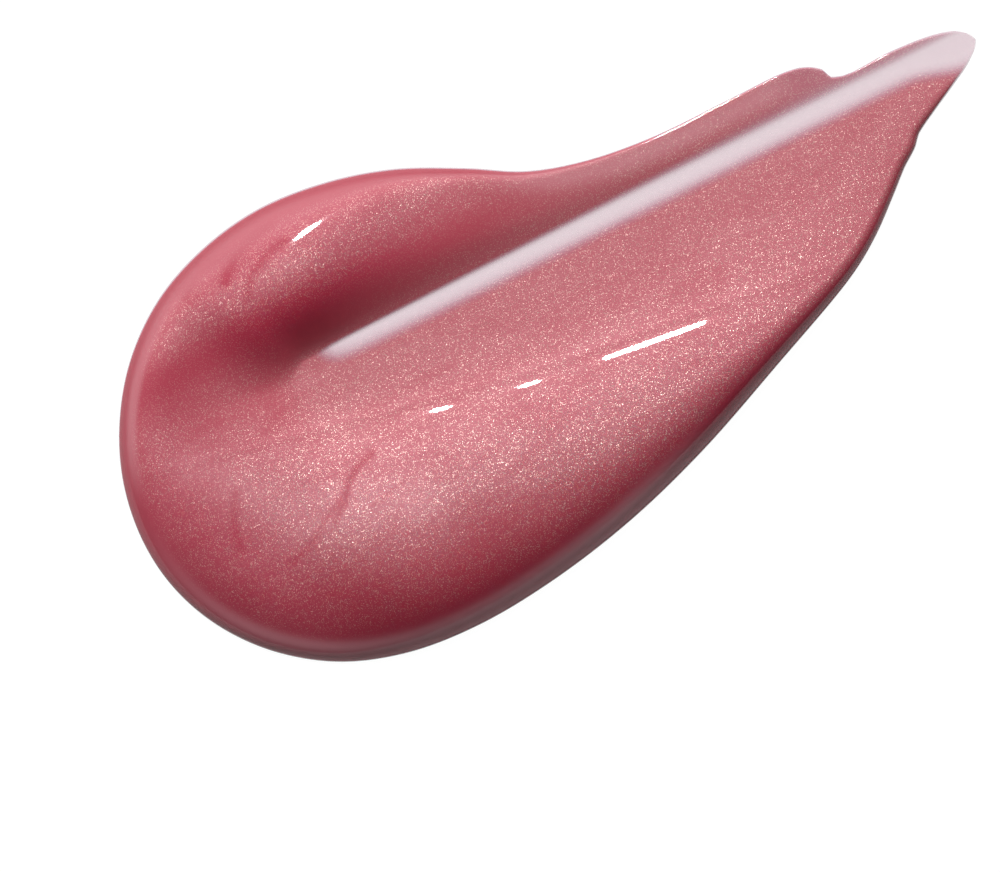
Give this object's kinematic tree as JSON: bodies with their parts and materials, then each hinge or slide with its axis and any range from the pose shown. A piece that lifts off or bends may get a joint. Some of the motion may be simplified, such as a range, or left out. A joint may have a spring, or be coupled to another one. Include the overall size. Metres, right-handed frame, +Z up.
{
  "type": "lip gloss smear",
  "caption": "Smear of thick shimmering rose-pink lip gloss: a round pool dragged out into a scraped track with raised banks and a tapering, thinning tail, lying on its flat underside.",
  "frame": {"origin": "middle of the smear's length and width, on its flat underside", "axes": "+X along the drag, from the round pool to the tip of the tail; +Z up, away from the surface it lies on; +Y to the side where the scraped line runs"},
  "size_m": [0.0406, 0.0198, 0.0021],
  "materials": {
    "gloss": null
  },
  "bodies": {
    "root": {"gloss_smear": "gloss"}
  },
  "joints": []
}
